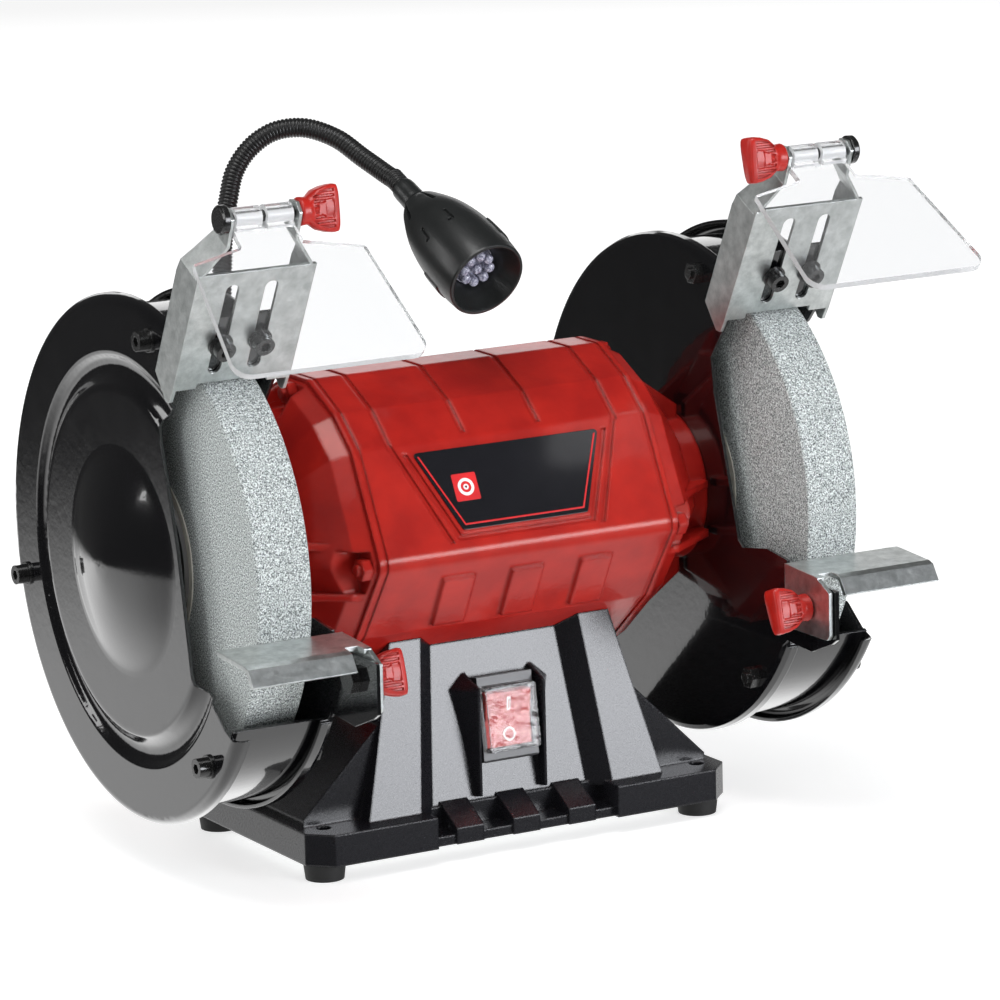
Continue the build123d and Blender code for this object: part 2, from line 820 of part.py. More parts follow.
def casing_nuts():
    """Hexagon nuts on the motor side of both pans."""
    with BuildPart() as nuts:
        with BuildSketch(across(casing_x - 4.2)):
            with Locations(*screw_spots()):
                RegularPolygon(4.2, 6, major_radius=False)
                Circle(2.5, mode=Mode.SUBTRACT)
        extrude(amount=4.2)
        mirror(about=Plane.YZ)
    return nuts.part


# ---------------------------------------------------------------- spark arrestor and shield

arrestor_mid = sum(arrestor_x) / 2
arrestor_face = Plane(origin=(0, *arrestor_foot), x_dir=(1, 0, 0),
                      z_dir=(0, -cos(arrestor_lean), -sin(arrestor_lean)))
hinge_vw = (81.0, 7.3)
hinge_at = along(*hinge_vw)


def arrestor_side(x):
    """Plane of a side flange; sketch x runs up the bracket's face and sketch y to its back."""
    return Plane(origin=(x, *arrestor_foot), x_dir=(0, -sin(arrestor_lean), cos(arrestor_lean)),
                 z_dir=(-1, 0, 0))


def spark_arrestor():
    """Folded bracket: slotted face, turned-back sides and ears for the shield's hinge pin."""
    with BuildPart() as bracket:
        for side in (-1, 1):
            half = (arrestor_x[1] - arrestor_x[0]) / 2
            outer = [(half, -9), (half, 56), (16.4, 71), (16.4, 90)]
            inner = [(x - sheet, v) for x, v in reversed(outer)]
            with BuildSketch(arrestor_face):
                with BuildLine():
                    Polyline(*[(arrestor_mid + side * x, v) for x, v in outer + inner], close=True)
                make_face()
            extrude(amount=-20)
        with BuildSketch(arrestor_side(arrestor_x[1] + 2)):
            with BuildLine():
                Polyline((0, 0), (-6.5, 0.6), (-7.6, 3.6), (-1.5, 16.8), (50, 18), (62, 15.5),
                         (84, 12.4), (86.2, 7.3), (84, 2.4), (76, 1.6), (58, 0), close=True)
            make_face()
            fillet(vertices(), radius=0.9)
        extrude(amount=arrestor_x[1] - arrestor_x[0] + 4, mode=Mode.INTERSECT)
        with BuildSketch(arrestor_face):
            with Locations((arrestor_mid, arrestor_height / 2)):
                Rectangle(arrestor_x[1] - arrestor_x[0], arrestor_height)
            with Locations((arrestor_mid, 0)):
                Rectangle(wheel_width + 8, 5.2, mode=Mode.SUBTRACT)
            with Locations(*[(x, 29.5) for x in arrestor_screw_x]):
                SlotOverall(44.5, 6.0, rotation=90, mode=Mode.SUBTRACT)
        extrude(amount=-sheet)
        with Locations(Location((arrestor_mid, *hinge_at), (0, 90, 0))):
            Cylinder(pin_radius + running, 70, mode=Mode.SUBTRACT)
    return bracket.part


def arrestor_screws():
    """Two socket-head screws with washers through the arrestor's slots."""
    with BuildPart() as screws:
        for x in arrestor_screw_x:
            seat = Plane(origin=(x, *along(arrestor_screw_v, -0.3)), x_dir=(1, 0, 0),
                         z_dir=(0, -cos(arrestor_lean), -sin(arrestor_lean)))
            with BuildSketch(seat):
                Circle(5.2)
            extrude(amount=1.0)
            with BuildSketch(seat.offset(1.0)):
                Circle(4.25)
            extrude(amount=5.0)
            with BuildSketch(seat.offset(3.4)):
                RegularPolygon(2.0, 6, major_radius=False)
            extrude(amount=4, mode=Mode.SUBTRACT)
            with BuildSketch(seat):
                Circle(2.4)
            extrude(amount=-7.5)
    return screws.part


shield_falls = {"right": radians(32.0), "left": radians(39.5)}
shield_mid = 133.8
knuckle_spans = ((121.2, 133.2), (135.6, 147.4))
shield_under = 1.9
shield_sheet = 2.8


def eye_shield(fall):
    """Clear six-sided screen hanging at an angle from two split knuckles on the hinge pin."""
    shield_face = Plane(origin=(0, *hinge_at), x_dir=(1, 0, 0), z_dir=(0, sin(fall), -cos(fall)))
    with BuildPart() as shield:
        with BuildSketch(shield_face.offset(shield_under)):
            with BuildLine():
                Polyline((119.8, 5), (148.0, 5), (148.2, 13.8), (172.4, 20), (178.2, 80), (89.4, 80),
                         (94, 20), (119.8, 13.8), close=True)
            make_face()
            fillet(vertices().sort_by(Axis.Y)[-2:], radius=7)
        extrude(amount=shield_sheet)
        for low, high in knuckle_spans:
            with BuildSketch(shield_face):
                with Locations(((low + high) / 2, 3.5)):
                    Rectangle(high - low, 5)
            extrude(amount=shield_under + shield_sheet)
            with Locations(Location(((low + high) / 2, *hinge_at), (0, 90, 0))):
                Cylinder(4.6, high - low)
        with Locations(Location((shield_mid, *hinge_at), (0, 90, 0))):
            Cylinder(pin_radius + running, 80, mode=Mode.SUBTRACT)
    return shield.part


def hinge_pin():
    """Dark hinge bolt with a broad cap at its outer end."""
    ear_out = arrestor_mid + 16.4
    with BuildPart() as pin:
        with BuildSketch(Plane(origin=(105, *hinge_at), x_dir=(0, 1, 0), z_dir=(1, 0, 0))):
            Circle(pin_radius)
        extrude(amount=ear_out + 1.5 - 105)
        with BuildSketch(Plane(origin=(ear_out + 0.3, *hinge_at), x_dir=(0, 1, 0), z_dir=(1, 0, 0))):
            Circle(6.2)
        extrude(amount=3.2)
        chamfer(pin.edges().group_by(Axis.X)[-1], length=0.8)
    return pin.part


def wing_knob(base_x, centre, turn, bore):
    """Moulded wing knob pointing towards the motor, with ribbed flanks."""
    seat = Plane(Location((base_x, *centre), (0, -90, 0)))
    seat = Plane(origin=seat.origin, x_dir=(0, cos(radians(turn)), sin(radians(turn))),
                 z_dir=(-1, 0, 0))
    with BuildPart() as knob:
        with BuildSketch(seat):
            Circle(6.4)
        with BuildSketch(seat.offset(7)):
            Circle(5.4)
        loft()
        for rise, wing in (
            (4.5, [(-6.5, -4.2), (6.5, -4.8), (6.5, 4.8), (-6.5, 4.2)]),
            (11.0, [(-10.0, -3.6), (10.0, -6.0), (10.0, 6.0), (-10.0, 3.6)]),
            (19.0, [(-10.8, -3.0), (10.8, -5.6), (10.8, 5.6), (-10.8, 3.0)]),
        ):
            with BuildSketch(seat.offset(rise)):
                with BuildLine():
                    Polyline(*wing, close=True)
                make_face()
                fillet(vertices(), radius=2.4)
        loft(ruled=True)
        for side in (-1, 1):
            for step in range(-3, 4):
                with BuildSketch(seat.offset(9.5)):
                    with Locations((step * 2.6, side * (4.8 + 0.31 * step))):
                        Circle(0.75)
                extrude(amount=7.5, mode=Mode.SUBTRACT)
        with BuildSketch(seat):
            Circle(bore)
        extrude(amount=13, mode=Mode.SUBTRACT)
    return knob.part


# ---------------------------------------------------------------- tool rest

def tool_rest():
    """Bent rest: near-level table, folded front edge and a slotted side flange."""
    fold = (-125.0, 118.4)
    table = [(rest_back, 120.0), fold, (-128.2, 117.4), (-132.6, 110.6), (-130.8, 109.8),
             (-127.0, 115.8), (-125.2, 116.4), (rest_back, 118.0)]
    with BuildPart() as rest:
        with BuildSketch(Plane.YZ.offset(rest_x[0])):
            with BuildLine():
                Polyline(*table, close=True)
            make_face()
        extrude(amount=rest_x[1] - rest_x[0])
        # The front fold stops short of the side flange, with a relief slot beside it
        with BuildSketch(Plane.XY.offset(100)):
            with Locations((rest_x[0] + 4.8, -131)):
                Rectangle(11, 10)
            with Locations((rest_x[0] + 7.0, -124.0)):
                Rectangle(6.6, 6.0)
        extrude(amount=30, mode=Mode.SUBTRACT)
        with BuildSketch(Plane.YZ.offset(rest_x[0])):
            with BuildLine():
                Polyline((rest_back, 119.4), (-126, 117.6), (-135, 113), (-135, 94), (-133, 92),
                         (rest_back - 2, 92), (rest_back, 94), close=True)
            make_face()
            with Locations((rest_bolt[0] + 6.0, rest_bolt[1])):
                SlotOverall(19.0, 6.6, mode=Mode.SUBTRACT)
        extrude(amount=rest_plate)
        corner = rest.edges().filter_by(Axis.Z).sort_by(Axis.X)[-2:]
        fillet(corner, radius=0.8)
    return rest.part


def rest_bolt_part():
    """Flanged bolt through the pan's tab and the rest's slot."""
    centre = Plane(origin=(casing_x + sheet, *rest_bolt), x_dir=(0, 1, 0), z_dir=(1, 0, 0))
    with BuildPart() as bolt:
        with BuildSketch(centre):
            RegularPolygon(5.0, 6, major_radius=False)
        extrude(amount=4.0)
        with BuildSketch(centre):
            Circle(3.0)
        extrude(amount=-17)
    return bolt.part


# ---------------------------------------------------------------- lamp

def lamp_socket():
    """Moulded elbow on the back crease of the motor that holds the foot of the gooseneck."""
    with BuildPart() as socket:
        with Locations((lamp_post[0], 78, shaft_height + 1)):
            Box(20, 17, 24)
        fillet(socket.edges().filter_by(Axis.Z), radius=4)
        with Locations((lamp_post[0], lamp_post[1], shaft_height + 13)):
            Cylinder(8, 10, align=(Align.CENTER, Align.CENTER, Align.MIN))
        fillet(socket.edges().group_by(Axis.Z)[-1], radius=1.5)
        with Locations((*lamp_post, shaft_height)):
            Cylinder(goose_radius, 40, align=(Align.CENTER, Align.CENTER, Align.MIN),
                     mode=Mode.SUBTRACT)
        add(motor_prism(0.05, 90.0), mode=Mode.SUBTRACT)
    return socket.part


bend_gap = 1.8


def gooseneck_lower():
    """Upright part of the corrugated neck, from its socket to the bend."""
    with BuildPart() as neck:
        with Locations((*lamp_post, shaft_height)):
            Cylinder(goose_radius, bend_point[2] - bend_gap - shaft_height,
                     align=(Align.CENTER, Align.CENTER, Align.MIN))
    return neck.part


arch = [(-69.5, 78.0, 226.8), (-60.4, 85.5, 272.6), (-56.2, 86.0, 285.5), (-49.3, 84.2, 295.3),
        (-40.4, 79.9, 302.1), (-30.1, 72.8, 304.1), (-18.9, 61.3, 299.5), (-12.2, 49.3, 291.4),
        (-7.5, 36.5, 285.0), (-5.8, 28.9, 281.9)]


def gooseneck_upper():
    """Arched part of the neck, from the bend to the lamp's sleeve."""
    with BuildPart() as neck:
        with BuildLine() as path:
            Spline(*arch, tangents=[(0, 0, 1), (0.057, -0.895, -0.443)])
        with BuildSketch(Plane(origin=path.line @ 0, z_dir=path.line % 0)):
            Circle(goose_radius)
        sweep()
    return neck.part


def towards(start, end):
    """Unit vector from one point to another."""
    return (Vector(*end) - Vector(*start)).normalized()


head_dir = towards(head_neck, head_rim)
head_side = Vector(0, 0, 1).cross(head_dir).normalized()
head_axis = Axis(head_neck, head_dir)
head_section = Plane(origin=head_neck, x_dir=head_dir, z_dir=head_side)


def spun(points):
    """Solid of revolution about the lamp's own axis from (distance, radius) points."""
    with BuildPart() as piece:
        with BuildSketch(head_section):
            with BuildLine():
                Polyline(*points, close=True)
            make_face()
        revolve(axis=head_axis)
    return piece.part


def lamp_head():
    """Bell-shaped lamp housing with its sleeve and a dished front."""
    return spun([
        (-14.2, 0), (-14.2, 4.8), (-12, 5.4), (0, 5.8), (2, 8.0), (8, 11.0), (17, 14.6), (28, 17.2),
        (42, 18.4), (55, 18.2), (58.5, 17.9), (59.2, 17.4), (59.2, 16.4), (58.0, 16.0), (50, 10.4),
        (46, 9.6), (46, 0),
    ])


def lamp_leds():
    """Round cluster of clear light-emitting diodes on a carrier disc."""
    with BuildPart() as leds:
        carrier = Plane(origin=head_axis.position + head_dir * 46.0, x_dir=head_side, z_dir=head_dir)
        with BuildSketch(carrier):
            Circle(9.4)
        extrude(amount=1.2)
        with BuildSketch(carrier.offset(1.2)):
            with PolarLocations(6.4, 8):
                Circle(2.3)
            Circle(2.3)
        extrude(amount=5.0)
        fillet(leds.edges().filter_by(GeomType.CIRCLE).filter_by(
            lambda edge: (edge.arc_center - carrier.origin).dot(head_dir) > 6.0), radius=1.6)
    return leds.part


# ---------------------------------------------------------------- make every node

save(base_casting(), "base_casting")
save(rubber_feet(), "rubber_feet")
save(bottom_cover(), "bottom_cover")
save(cover_fixings(), "bottom_cover_screws")
save(cable_gland(), "cable_gland")
save(switch_body(), "switch_body")
save(rocker(), "switch_rocker")
save(splash_cover(), "switch_splash_cover")
save(motor_shell(), "motor_shell")
save_pair(end_bell(), "end_bell")
save(tie_bolts(), "tie_bolts")
save(stator_core(), "stator_core")
save(stator_windings(), "stator_windings")
save(rotor_core(), "rotor_core")
save(motor_shaft(), "motor_shaft")
save(bearings(), "ball_bearings")
save(wave_washer(), "wave_washer")
save(capacitor(), "run_capacitor")
save(name_plate(), "name_plate")
save_pair(grinding_wheel(), "grinding_wheel")
save(blotters(), "paper_blotters")
save(inner_flanges(), "inner_flanges")
save(outer_flanges(), "outer_flanges")
save_pair(wheel_nut(), "spindle_nut")
save_pair(guard_casing(), "guard_casing")
save_pair(guard_band(), "guard_band")
save_pair(guard_cover(), "guard_cover")
save_pair(cover_screws(), "cover_screws")
save(cover_washers(), "cover_washers")
save(casing_nuts(), "casing_nuts")
save_pair(spark_arrestor(), "spark_arrestor")
save_pair(arrestor_screws(), "arrestor_screws")
save(eye_shield(shield_falls["right"]), "eye_shield_right")
save(mirror(eye_shield(shield_falls["left"]), about=Plane.YZ), "eye_shield_left")
save_pair(hinge_pin(), "shield_pin")
save_pair(wing_knob(arrestor_mid - 16.4 - 0.3, hinge_at, 80, pin_radius), "shield_knob")
save_pair(tool_rest(), "tool_rest")
save_pair(rest_bolt_part(), "rest_bolt")
save_pair(wing_knob(rest_x[0] - 0.3, rest_bolt, 70, 3.0 + running), "rest_knob")
save(lamp_socket(), "lamp_socket")
save(gooseneck_lower(), "gooseneck_lower")
save(gooseneck_upper(), "gooseneck_upper")
save(lamp_head(), "lamp_head")
save(lamp_leds(), "lamp_leds")
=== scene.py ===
import json
import math

import bpy
import numpy as np
from mathutils import Matrix, Vector


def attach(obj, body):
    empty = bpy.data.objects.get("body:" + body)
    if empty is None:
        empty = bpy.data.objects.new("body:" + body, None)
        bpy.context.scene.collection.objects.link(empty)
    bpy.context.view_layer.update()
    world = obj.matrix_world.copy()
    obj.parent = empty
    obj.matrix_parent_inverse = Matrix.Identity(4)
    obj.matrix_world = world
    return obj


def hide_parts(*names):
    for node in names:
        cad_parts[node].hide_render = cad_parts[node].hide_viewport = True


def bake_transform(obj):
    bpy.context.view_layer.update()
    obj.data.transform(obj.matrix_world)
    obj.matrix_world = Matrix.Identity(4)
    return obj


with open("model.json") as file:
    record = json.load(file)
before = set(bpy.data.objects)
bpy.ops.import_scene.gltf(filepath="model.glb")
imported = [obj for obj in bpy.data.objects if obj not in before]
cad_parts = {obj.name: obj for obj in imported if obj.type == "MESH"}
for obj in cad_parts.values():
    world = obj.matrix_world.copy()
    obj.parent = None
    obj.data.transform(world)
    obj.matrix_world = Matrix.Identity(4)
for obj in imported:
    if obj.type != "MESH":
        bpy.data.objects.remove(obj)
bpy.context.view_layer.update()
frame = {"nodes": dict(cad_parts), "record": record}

MM = 0.001
LEFT_TO_RIGHT = np.array((1.0, 0.0, 0.0))


# ---------------------------------------------------------------- studio

CAMERA_PLACE = (-1.15892, -2.08319, 0.6516)
CAMERA_AZIMUTH, CAMERA_ELEVATION, CAMERA_ROLL = -29.61, 12.02, -1.42
CAMERA_LENS = 200.5
GRINDER_MIDDLE = (0.0, 0.0, 0.14)
COOL_WHITE = (0.93, 0.95, 1.0)
WHITE = (1.0, 1.0, 1.0)
SOFT_BOXES = (
    # name, place, (width, height) in metres, watts, colour
    ("front_right_box", (1.5, -2.7, 0.55), (1.5, 1.3), 64.0, COOL_WHITE),
    ("high_box", (-0.6, -0.5, 2.4), (1.6, 1.2), 34.0, WHITE),
    ("left_box", (-2.6, -0.9, 1.3), (0.9, 1.5), 16.0, WHITE),
    ("left_back_window", (-1.9, 1.2, 0.9), (0.5, 1.1), 6.0, WHITE),
    ("back_box", (1.3, 2.5, 0.85), (2.2, 0.9), 7.0, WHITE),
)
# Strength of the surround where it is seen, on dull surfaces, and all round in gloss
WORLD_SEEN, WORLD_FILL, WORLD_GLOSS = 1.0, 0.26, 0.04
# What gloss sees besides: (start, full) of the downward and backward slopes, and brightness
ROOM_BELOW, BELOW_BRIGHT = (0.35, 0.75), 0.8
TABLE_UNDER, TABLE_BACK, TABLE_BRIGHT = (0.195, 0.235), (0.1, 0.7), 0.9
FLOOR_HALF = 9.0
FLOOR_GREY = (0.62, 0.62, 0.62, 1)
FLOOR_GLOW = 0.68


def studio_camera():
    """Long lens at the front left, a little above the grinder and rolled slightly."""
    azimuth, elevation, roll = map(math.radians, (CAMERA_AZIMUTH, CAMERA_ELEVATION, CAMERA_ROLL))
    level = Vector((math.cos(azimuth), math.sin(azimuth), 0.0))
    ahead = Vector((-math.sin(azimuth) * math.cos(elevation),
                    math.cos(azimuth) * math.cos(elevation), -math.sin(elevation)))
    above = level.cross(ahead)
    right = level * math.cos(roll) + above * math.sin(roll)
    up = above * math.cos(roll) - level * math.sin(roll)
    data = bpy.data.cameras.new("studio_camera")
    data.sensor_width = 36.0
    data.lens = CAMERA_LENS
    data.clip_end = 60.0
    camera = bpy.data.objects.new("studio_camera", data)
    turn = Matrix((right, up, -ahead)).transposed().to_4x4()
    camera.matrix_world = Matrix.Translation(CAMERA_PLACE) @ turn
    bpy.context.scene.collection.objects.link(camera)
    bpy.context.scene.camera = camera


def soft_box(name, place, size, power, colour):
    """One rectangular studio light, aimed at the grinder's middle."""
    data = bpy.data.lights.new(name, "AREA")
    data.shape = "RECTANGLE"
    data.size, data.size_y = size
    data.energy = power
    data.color = colour
    box = bpy.data.objects.new(name, data)
    box.location = place
    aim = Vector(GRINDER_MIDDLE) - Vector(place)
    box.rotation_euler = aim.to_track_quat("-Z", "Y").to_euler()
    bpy.context.scene.collection.objects.link(box)


def studio_lights():
    """The soft boxes, and a surround that is white where seen and a dim room in gloss."""
    bpy.context.scene.view_settings.view_transform = "Standard"
    for box in SOFT_BOXES:
        soft_box(*box)
    world = bpy.data.worlds.new("surround")
    world.use_nodes = True
    tree = world.node_tree
    surround = tree.nodes["Background"]
    surround.inputs["Color"].default_value = (*WHITE, 1.0)
    path = tree.nodes.new("ShaderNodeLightPath")
    strength = mixed(tree, path.outputs["Is Diffuse Ray"], WORLD_SEEN, WORLD_FILL)
    strength = mixed(tree, path.outputs["Is Glossy Ray"], strength, room_in_gloss(tree))
    strength = mixed(tree, path.outputs["Is Transmission Ray"], strength, WORLD_SEEN)
    tree.links.new(strength, surround.inputs["Strength"])
    bpy.context.scene.world = world


def step_of(tree, value, low, high, peak):
    """Smooth rise from 0 at `low` to `peak` at `high`."""
    rise = tree.nodes.new("ShaderNodeMapRange")
    rise.interpolation_type = "SMOOTHSTEP"
    for socket, number in zip(("From Min", "From Max", "To Min", "To Max"), (low, high, 0.0, peak)):
        rise.inputs[socket].default_value = number
    tree.links.new(value, rise.inputs["Value"])
    return rise.outputs["Result"]


def combined(tree, kind, first, second):
    """Two values put together by a Math node of a kind."""
    node = tree.nodes.new("ShaderNodeMath")
    node.operation = kind
    for socket, value in zip(node.inputs, (first, second)):
        if isinstance(value, float):
            socket.default_value = value
        else:
            tree.links.new(value, socket)
    return node.outputs["Value"]


def room_in_gloss(tree):
    """Brightness of the dim room in gloss: dark all round, white straight below, and a pale table
    behind that starts a little under the horizon."""
    axes = tree.nodes.new("ShaderNodeSeparateXYZ")
    tree.links.new(tree.nodes.new("ShaderNodeTexCoord").outputs["Generated"], axes.inputs["Vector"])
    down = combined(tree, "MULTIPLY", axes.outputs["Z"], -1.0)
    below = step_of(tree, down, *ROOM_BELOW, BELOW_BRIGHT)
    table = combined(tree, "MULTIPLY", step_of(tree, down, *TABLE_UNDER, 1.0),
                     step_of(tree, axes.outputs["Y"], *TABLE_BACK, TABLE_BRIGHT))
    return combined(tree, "ADD", combined(tree, "ADD", below, table), WORLD_GLOSS)


def mixed(tree, share, plain, other):
    """Float mix: plain at share 0 and other at share 1."""
    mix = tree.nodes.new("ShaderNodeMix")
    mix.data_type = "FLOAT"
    tree.links.new(share, mix.inputs["Factor"])
    for socket, value in (("A", plain), ("B", other)):
        if isinstance(value, float):
            mix.inputs[socket].default_value = value
        else:
            tree.links.new(value, mix.inputs[socket])
    return mix.outputs["Result"]


def studio_floor():
    """Plain near-white floor; gloss sees the dim room instead of it."""
    mesh = bpy.data.meshes.new("floor")
    corners = [(x * FLOOR_HALF, y * FLOOR_HALF, 0) for x, y in ((-1, -1), (1, -1), (1, 1), (-1, 1))]
    mesh.from_pydata(corners, [], [(0, 1, 2, 3)])
    floor = bpy.data.objects.new("floor", mesh)
    bpy.context.scene.collection.objects.link(floor)
    mat = bpy.data.materials.new("pale_floor")
    mat.use_nodes = True
    shader = mat.node_tree.nodes["Principled BSDF"]
    shader.inputs["Base Color"].default_value = FLOOR_GREY
    shader.inputs["Roughness"].default_value = 0.9
    shader.inputs["Emission Color"].default_value = (*WHITE, 1)
    shader.inputs["Emission Strength"].default_value = FLOOR_GLOW
    mesh.materials.append(mat)
    floor.visible_glossy = False


# ---------------------------------------------------------------- finishes

# Middle of the two clear shields' facing directions at rest, and how clear faces and edges are
SHIELD_LEAN = math.radians(35.75)
SHIELD_FACE = (0.0, math.sin(SHIELD_LEAN), -math.cos(SHIELD_LEAN))
SHEET_CLEAR, EDGE_CLEAR = 0.985, 0.5
EDGE_TO_SHEET = (0.8, 0.95)
CLEAR_IOR = 1.25


def finish_of(name, colour, rough, metallic=0.0, coat=0.0, coat_rough=0.05):
    """A material with a Principled shader; returns (material, node tree, shader)."""
    mat = bpy.data.materials.new(name)
    mat.use_nodes = True
    shader = mat.node_tree.nodes["Principled BSDF"]
    shader.inputs["Base Color"].default_value = (*colour, 1.0)
    shader.inputs["Roughness"].default_value = rough
    shader.inputs["Metallic"].default_value = metallic
    shader.inputs["Coat Weight"].default_value = coat
    shader.inputs["Coat Roughness"].default_value = coat_rough
    return mat, mat.node_tree, shader


def place_of(tree):
    """Object coordinates, in metres."""
    return tree.nodes.new("ShaderNodeTexCoord").outputs["Object"]


def noise_of(tree, scale, detail=4.0, rough=0.55):
    """Noise with features about 1/scale metres across."""
    noise = tree.nodes.new("ShaderNodeTexNoise")
    noise.inputs["Scale"].default_value = scale
    noise.inputs["Detail"].default_value = detail
    noise.inputs["Roughness"].default_value = rough
    tree.links.new(place_of(tree), noise.inputs["Vector"])
    return noise.outputs["Fac"]


def ramp_of(tree, value, stops):
    """Colour ramp over (position, colour) stops."""
    ramp = tree.nodes.new("ShaderNodeValToRGB")
    elements = ramp.color_ramp.elements
    while len(elements) < len(stops):
        elements.new(0.5)
    for element, (position, colour) in zip(elements, stops):
        element.position = position
        element.color = (*colour, 1.0)
    tree.links.new(value, ramp.inputs["Fac"])
    return ramp.outputs["Color"]


def spread_of(tree, value, low, high):
    """Maps 0..1 to low..high."""
    spread = tree.nodes.new("ShaderNodeMapRange")
    spread.inputs["To Min"].default_value = low
    spread.inputs["To Max"].default_value = high
    tree.links.new(value, spread.inputs["Value"])
    return spread.outputs["Result"]


def bump_of(tree, shader, height, depth):
    """Bump of a depth in metres on the shader; returns the Bump node."""
    bump = tree.nodes.new("ShaderNodeBump")
    bump.inputs["Distance"].default_value = depth
    bump.inputs["Strength"].default_value = 1.0
    tree.links.new(height, bump.inputs["Height"])
    tree.links.new(bump.outputs["Normal"], shader.inputs["Normal"])
    return bump


def edged(tree, radius):
    """Normal with every edge rounded by a radius in metres."""
    bevel = tree.nodes.new("ShaderNodeBevel")
    bevel.samples = 4
    bevel.inputs["Radius"].default_value = radius
    return bevel.outputs["Normal"]


def bump_over(tree, shader, height, depth, radius):
    """Bump laid over rounded edges, on the paint and on its coat."""
    bump = bump_of(tree, shader, height, depth)
    tree.links.new(edged(tree, radius), bump.inputs["Normal"])
    tree.links.new(bump.outputs["Normal"], shader.inputs["Coat Normal"])


def motor_red():
    """Red enamel with a faint orange peel, a warm sheen and a thin gloss coat."""
    mat, tree, shader = finish_of("motor_red", (0.35, 0.004, 0.006), 0.3, coat=0.45,
                                  coat_rough=0.07)
    shader.inputs["Specular IOR Level"].default_value = 0.3
    shader.inputs["Specular Tint"].default_value = (1.0, 0.72, 0.6, 1.0)
    tint = ramp_of(tree, noise_of(tree, 60, 3),
                   [(0.35, (0.31, 0.010, 0.008)), (0.7, (0.41, 0.015, 0.010))])
    tree.links.new(tint, shader.inputs["Base Color"])
    tree.links.new(spread_of(tree, noise_of(tree, 220, 3), 0.26, 0.38), shader.inputs["Roughness"])
    bump_over(tree, shader, noise_of(tree, 420, 2), 0.00005, 0.0022)
    return mat


def guard_black():
    """Gloss black enamel over pressed steel."""
    mat, tree, shader = finish_of("guard_black", (0.003, 0.003, 0.0035), 0.12, coat=1.0,
                                  coat_rough=0.03)
    tree.links.new(spread_of(tree, noise_of(tree, 90, 4), 0.07, 0.15), shader.inputs["Roughness"])
    bump_over(tree, shader, noise_of(tree, 260, 2), 0.00002, 0.0006)
    return mat


def base_black():
    """Black crackle paint on the casting: fine raised specks that catch the light."""
    mat, tree, shader = finish_of("base_black", (0.007, 0.007, 0.009), 0.3, coat=0.5,
                                  coat_rough=0.16)
    shader.inputs["Specular IOR Level"].default_value = 0.5
    grain = noise_of(tree, 2600, 2, 0.6)
    tree.links.new(spread_of(tree, grain, 0.2, 0.34), shader.inputs["Roughness"])
    bump_over(tree, shader, grain, 0.000022, 0.0012)
    return mat


def zinc_sheet():
    """Bright zinc plate with a soft cloudy spangle and a fine grain."""
    mat, tree, shader = finish_of("zinc_sheet", (0.72, 0.74, 0.73), 0.3, metallic=1.0)
    cloud = ramp_of(tree, noise_of(tree, 160, 5, 0.65),
                    [(0.3, (0.52, 0.55, 0.54)), (0.5, (0.68, 0.71, 0.70)),
                     (0.7, (0.84, 0.87, 0.86))])
    tree.links.new(cloud, shader.inputs["Base Color"])
    tree.links.new(spread_of(tree, noise_of(tree, 420, 4), 0.26, 0.46), shader.inputs["Roughness"])
    bump_over(tree, shader, noise_of(tree, 900, 3), 0.00004, 0.0005)
    return mat


def steel(name, colour, rough):
    """Turned or ground steel."""
    mat, tree, shader = finish_of(name, colour, rough, metallic=1.0)
    tree.links.new(spread_of(tree, noise_of(tree, 700, 4), rough - 0.08, rough + 0.12),
                   shader.inputs["Roughness"])
    bump_of(tree, shader, noise_of(tree, 1100, 3), 0.00002)
    return mat


def moulded(name, colour, rough, grain=900, depth=0.00008, coat=0.0, radius=0.0004):
    """Moulded plastic or rubber with a fine spark-eroded grain."""
    mat, tree, shader = finish_of(name, colour, rough, coat=coat)
    fine = noise_of(tree, grain, 3)
    dark = tuple(c * 0.85 for c in colour)
    light = tuple(min(1.0, c * 1.12) for c in colour)
    tree.links.new(ramp_of(tree, noise_of(tree, 120, 3), [(0.3, dark), (0.7, light)]),
                   shader.inputs["Base Color"])
    tree.links.new(spread_of(tree, fine, rough - 0.07, rough + 0.09), shader.inputs["Roughness"])
    bump_over(tree, shader, fine, depth, radius)
    return mat


def abrasive():
    """Grey vitrified grit: white grains, dark bond specks and open pores."""
    mat, tree, shader = finish_of("abrasive", (0.5, 0.53, 0.52), 0.8)
    coarse = noise_of(tree, 1450, 3, 0.85)
    colour = ramp_of(tree, coarse, [(0.38, (0.04, 0.045, 0.05)), (0.45, (0.22, 0.24, 0.24)),
                                    (0.52, (0.52, 0.57, 0.56)), (0.60, (0.93, 0.97, 0.96))])
    tree.links.new(colour, shader.inputs["Base Color"])
    bump_of(tree, shader, coarse, 0.0006)
    return mat


def clear_sheet():
    """Clear polycarbonate: its broad faces are clear, its cut edges and knuckles milky. The square
    of the cosine between a face and the shield's own direction tells the two apart."""
    mat, tree, shader = finish_of("clear_sheet", (0.87, 0.877, 0.885), 0.04)
    shader.inputs["IOR"].default_value = CLEAR_IOR
    tree.links.new(spread_of(tree, noise_of(tree, 30, 3), 0.01, 0.04), shader.inputs["Roughness"])
    facing = tree.nodes.new("ShaderNodeVectorMath")
    facing.operation = "DOT_PRODUCT"
    facing.inputs[1].default_value = SHIELD_FACE
    tree.links.new(tree.nodes.new("ShaderNodeTexCoord").outputs["Normal"], facing.inputs[0])
    flat = combined(tree, "MULTIPLY", facing.outputs["Value"], facing.outputs["Value"])
    face = step_of(tree, flat, *EDGE_TO_SHEET, 1.0)
    tree.links.new(mixed(tree, face, EDGE_CLEAR, SHEET_CLEAR), shader.inputs["Transmission Weight"])
    return mat


